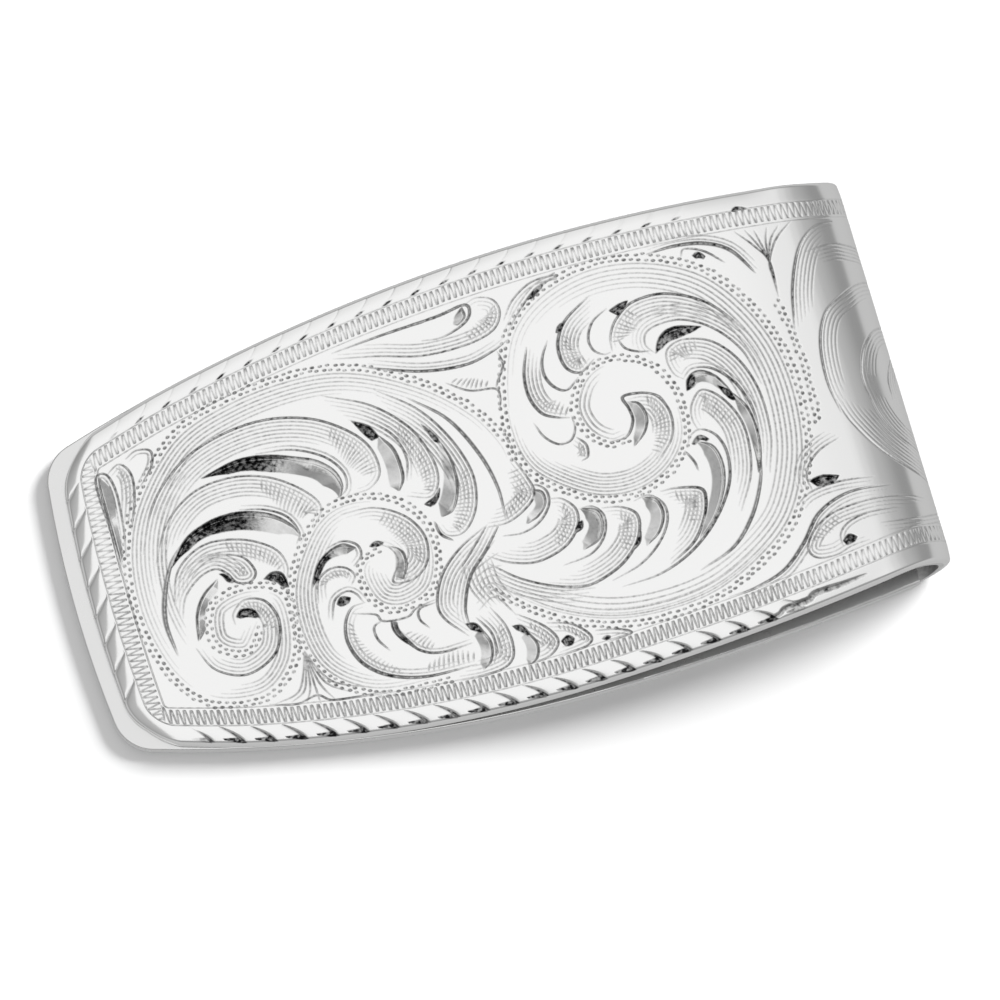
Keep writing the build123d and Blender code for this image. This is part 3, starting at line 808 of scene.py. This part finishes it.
def grid_piece(name, block, fields, material):
    """A mesh piece from one block of rows of the strip."""
    points, normals, shade_and_tarnish, satin = (field[block] for field in fields)
    rows, columns = shade_and_tarnish.shape
    shape = bmesh.new()
    bmesh.ops.create_grid(shape, x_segments=columns - 1, y_segments=rows - 1, size=1)
    mesh = bpy.data.meshes.new(name)
    shape.to_mesh(mesh)
    shape.free()
    mesh.vertices.foreach_set("co", points.reshape(-1, 3).astype(np.float32).ravel())
    mesh.shade_smooth()
    mesh.normals_split_custom_set_from_vertices(normals.reshape(-1, 3))
    for title, values in (("shade_and_tarnish", shade_and_tarnish), ("satin", satin)):
        layer = mesh.attributes.new(title, "FLOAT", "POINT")
        layer.data.foreach_set("value", values.astype(np.float32).ravel())
    mesh.materials.append(material)
    mesh.update()
    piece = bpy.data.objects.new(name, mesh)
    bpy.context.scene.collection.objects.link(piece)
    return piece


# ---------------- silver

SHADE_MOTTLE_SCALE = 3500.0        # noise scales, per metre: the mottle of the painted shade and tarnish in the cuts,
POLISH_SCALE = 120.0        # the unevenness of the polish,
GRAIN_SCALE = 5000.0        # and the fine grain of the metal
GRAIN_STRENGTH = 0.04
GRAIN_DEPTH = 0.00002
SATIN_ROUGHNESS = 0.3       # added where the metal is satin
# the colour of the cuts: painted shade and dark reflection, with some tarnish
CUT_SHADE_AND_TARNISH_COLOUR = (0.015, 0.015, 0.016, 1)


def node(tree, kind, **inputs):
    """A new node with some of its inputs set, by socket name."""
    made = tree.nodes.new(kind)
    for name, value in inputs.items():
        made.inputs[name.replace("_", " ")].default_value = value
    return made


def silver_surface():
    """The unevenness of the polish and the fine grain of the metal, as a group for any silver."""
    group = bpy.data.node_groups.new("silver_surface", "ShaderNodeTree")
    new_socket = group.interface.new_socket
    new_socket("Vector", in_out="INPUT", socket_type="NodeSocketVector")
    new_socket("Smoothest", in_out="INPUT", socket_type="NodeSocketFloat")
    new_socket("Roughest", in_out="INPUT", socket_type="NodeSocketFloat")
    new_socket("Roughness", in_out="OUTPUT", socket_type="NodeSocketFloat")
    new_socket("Grain", in_out="OUTPUT", socket_type="NodeSocketFloat")
    given = group.nodes.new("NodeGroupInput")
    result = group.nodes.new("NodeGroupOutput")
    polish = node(group, "ShaderNodeTexNoise", Scale=POLISH_SCALE, Detail=4.0)
    grain = node(group, "ShaderNodeTexNoise", Scale=GRAIN_SCALE, Detail=2.0)
    rough = node(group, "ShaderNodeMapRange")
    link = group.links.new
    link(given.outputs["Vector"], polish.inputs["Vector"])
    link(given.outputs["Vector"], grain.inputs["Vector"])
    link(given.outputs["Smoothest"], rough.inputs["To Min"])
    link(given.outputs["Roughest"], rough.inputs["To Max"])
    link(polish.outputs["Fac"], rough.inputs["Value"])
    link(rough.outputs["Result"], result.inputs["Roughness"])
    link(grain.outputs["Fac"], result.inputs["Grain"])
    return group


surface_group = silver_surface()


def silver(name, tone, roughness):
    """Bright silver with a fine grain."""
    material = bpy.data.materials.new(name)
    material.use_nodes = True
    tree = material.node_tree
    link = tree.links.new
    shader = tree.nodes["Principled BSDF"]
    shader.inputs["Metallic"].default_value = 1.0
    shader.inputs["Base Color"].default_value = (tone, tone, tone * 0.995, 1)
    place = tree.nodes.new("ShaderNodeTexCoord")
    surface = tree.nodes.new("ShaderNodeGroup")
    surface.node_tree = surface_group
    surface.inputs["Smoothest"].default_value = roughness * 0.8
    surface.inputs["Roughest"].default_value = roughness * 1.3
    bump = node(tree, "ShaderNodeBump", Strength=GRAIN_STRENGTH, Distance=GRAIN_DEPTH)
    link(place.outputs["Object"], surface.inputs["Vector"])
    link(surface.outputs["Grain"], bump.inputs["Height"])
    link(bump.outputs["Normal"], shader.inputs["Normal"])
    link(surface.outputs["Roughness"], shader.inputs["Roughness"])
    return material


def engrave_material(material):
    """Darkens a silver with painted shade and tarnish where the mesh says so, and roughens it where it is
    satin.
    """
    tree = material.node_tree
    link = tree.links.new
    shader = tree.nodes["Principled BSDF"]
    shade_and_tarnish = tree.nodes.new("ShaderNodeAttribute")
    shade_and_tarnish.attribute_name = "shade_and_tarnish"
    shade_mottle = node(tree, "ShaderNodeTexNoise", Scale=SHADE_MOTTLE_SCALE, Detail=4.0)
    mottle = node(tree, "ShaderNodeMapRange")
    mottle.inputs["From Min"].default_value = 0.3
    mottle.inputs["From Max"].default_value = 0.62
    mottle.inputs["To Min"].default_value = 1.3
    mottle.inputs["To Max"].default_value = 0.6
    darkening = tree.nodes.new("ShaderNodeMath")
    darkening.operation = "MULTIPLY"
    darkening.use_clamp = True
    colour = tree.nodes.new("ShaderNodeMix")
    colour.data_type = "RGBA"
    colour.inputs["A"].default_value = shader.inputs["Base Color"].default_value
    colour.inputs["B"].default_value = CUT_SHADE_AND_TARNISH_COLOUR
    link(tree.nodes["Texture Coordinate"].outputs["Object"], shade_mottle.inputs["Vector"])
    link(shade_mottle.outputs["Fac"], mottle.inputs["Value"])
    link(shade_and_tarnish.outputs["Fac"], darkening.inputs[0])
    link(mottle.outputs["Result"], darkening.inputs[1])
    link(darkening.outputs["Value"], colour.inputs["Factor"])
    link(colour.outputs["Result"], shader.inputs["Base Color"])
    satin = tree.nodes.new("ShaderNodeAttribute")
    satin.attribute_name = "satin"
    rougher = tree.nodes.new("ShaderNodeMath")
    rougher.operation = "MULTIPLY_ADD"
    rougher.inputs[1].default_value = SATIN_ROUGHNESS
    link(satin.outputs["Fac"], rougher.inputs[0])
    link(tree.nodes["Group"].outputs["Roughness"], rougher.inputs[2])
    link(rougher.outputs["Value"], shader.inputs["Roughness"])


engraved_silver = silver("engraved_silver", 0.955, 0.16)
engrave_material(engraved_silver)
# the back leaf's silver is toned darker than the face's: painted shade
polished_silver = silver("polished_silver", 0.84, 0.26)


# ---------------- the clip

def build_clip():
    """The front leaf and the bend as engraved meshes; the back leaf keeps its CAD shape."""
    fields = mesh_fields()
    bend_row = int(np.searchsorted(row_station, BEND_START))
    front_rows = np.linspace(0, bend_row, FRONT_PIECES + 1).astype(int)
    bend_rows = np.linspace(bend_row, len(row_station) - 1, BEND_PIECES + 1).astype(int)
    for number, (first, last) in enumerate(zip(front_rows, front_rows[1:])):
        piece = grid_piece(f"front_leaf_{number + 1}", slice(first, last + 1), fields, engraved_silver)
        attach(piece, "front")
        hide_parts("front_leaf")
    for number, (first, last) in enumerate(zip(bend_rows, bend_rows[1:])):
        piece = grid_piece(f"bend_{number + 1}", slice(first, last + 1), fields, engraved_silver)
        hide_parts("bend")
        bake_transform(piece)
    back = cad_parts["back_leaf"]
    back.data.materials.clear()
    back.data.materials.append(polished_silver)


build_clip()


# ---------------- the studio

FLOOR_GREY = 0.9
FLOOR_SIZE = 2.0
FLOOR_DROP = 0.02 * MM      # the floor lies this far under the back leaf
LAMP_HEIGHT = 0.6
LAMP_Y = 0.33
LAMP_LENGTH = 1.7
OVERHEAD_X = -0.15
OVERHEAD_WIDTH = 0.42
OVERHEAD = 0.475
FALL_OFF = (0.34, 0.22, 0.1)            # the overhead light dims in steps on the side of the bend
FALL_OFF_X = 0.12
FALL_OFF_WIDTH = 0.12
KEY_DIRECTION = (1.4, 0.6, 0.9)
KEY_STRENGTH = 4.8
KEY_SPREAD = 27
# the height on the dome, from -1 below to 1 overhead, and how bright it is there
SKY = ((-1.0, 0.5), (1.0, 0.46), (-0.1, 0.55), (0.12, 0.55), (0.2, 0.28), (0.45, 0.3), (0.75, 0.46))


def add_floor():
    """A pale floor just under the back leaf. The silver mirrors the sky below instead of the floor."""
    material = bpy.data.materials.new("floor")
    material.use_nodes = True
    shader = material.node_tree.nodes["Principled BSDF"]
    shader.inputs["Base Color"].default_value = (FLOOR_GREY, FLOOR_GREY, FLOOR_GREY, 1)
    shader.inputs["Roughness"].default_value = 1.0
    shader.inputs["Specular IOR Level"].default_value = 0.0
    shape = bmesh.new()
    bmesh.ops.create_grid(shape, x_segments=1, y_segments=1, size=FLOOR_SIZE)
    mesh = bpy.data.meshes.new("floor")
    shape.to_mesh(mesh)
    shape.free()
    mesh.materials.append(material)
    floor = bpy.data.objects.new("floor", mesh)
    floor.location.z = -FLOOR_DROP
    floor.visible_glossy = False
    bpy.context.scene.collection.objects.link(floor)


def add_softbox(name, x, width, brightness):
    """A rectangular lamp overhead, centred on x and facing straight down."""
    lamp = bpy.data.lights.new(name, "AREA")
    lamp.shape = "RECTANGLE"
    lamp.size = width
    lamp.size_y = LAMP_LENGTH
    lamp.energy = brightness * math.pi * width * LAMP_LENGTH
    box = bpy.data.objects.new(name, lamp)
    box.location = (x, LAMP_Y, LAMP_HEIGHT)
    bpy.context.scene.collection.objects.link(box)


def add_sky():
    """A grey dome with a darker band above the horizon."""
    world = bpy.data.worlds.new("studio")
    bpy.context.scene.world = world
    world.use_nodes = True
    tree = world.node_tree
    link = tree.links.new
    place = tree.nodes.new("ShaderNodeTexCoord")
    split = tree.nodes.new("ShaderNodeSeparateXYZ")
    ramp = tree.nodes.new("ShaderNodeValToRGB")
    background = tree.nodes["Background"]
    link(place.outputs["Generated"], split.inputs["Vector"])
    height = tree.nodes.new("ShaderNodeMapRange")
    height.inputs["From Min"].default_value = -1.0
    link(split.outputs["Z"], height.inputs["Value"])
    link(height.outputs["Result"], ramp.inputs["Fac"])
    link(ramp.outputs["Color"], background.inputs["Color"])
    stops = ramp.color_ramp.elements
    for number, (level, grey) in enumerate(SKY):
        stop = stops[number] if number < 2 else stops.new((level + 1) / 2)
        stop.position = (level + 1) / 2
        stop.color = (grey, grey, grey, 1)


def add_key():
    """A soft sun from one side, which throws the shadow."""
    lamp = bpy.data.lights.new("key", "SUN")
    lamp.energy = KEY_STRENGTH
    lamp.angle = math.radians(KEY_SPREAD)
    key = bpy.data.objects.new("key", lamp)
    key.rotation_euler = Vector(KEY_DIRECTION).to_track_quat("Z", "Y").to_euler()
    key.visible_glossy = False
    bpy.context.scene.collection.objects.link(key)


add_floor()
add_softbox("overhead", OVERHEAD_X, OVERHEAD_WIDTH, OVERHEAD)
for step, brightness in enumerate(FALL_OFF):
    add_softbox(f"fall_off_{step + 1}", FALL_OFF_X + FALL_OFF_WIDTH * step, FALL_OFF_WIDTH, brightness)
add_key()
add_sky()
bpy.context.scene.view_settings.view_transform = "Standard"
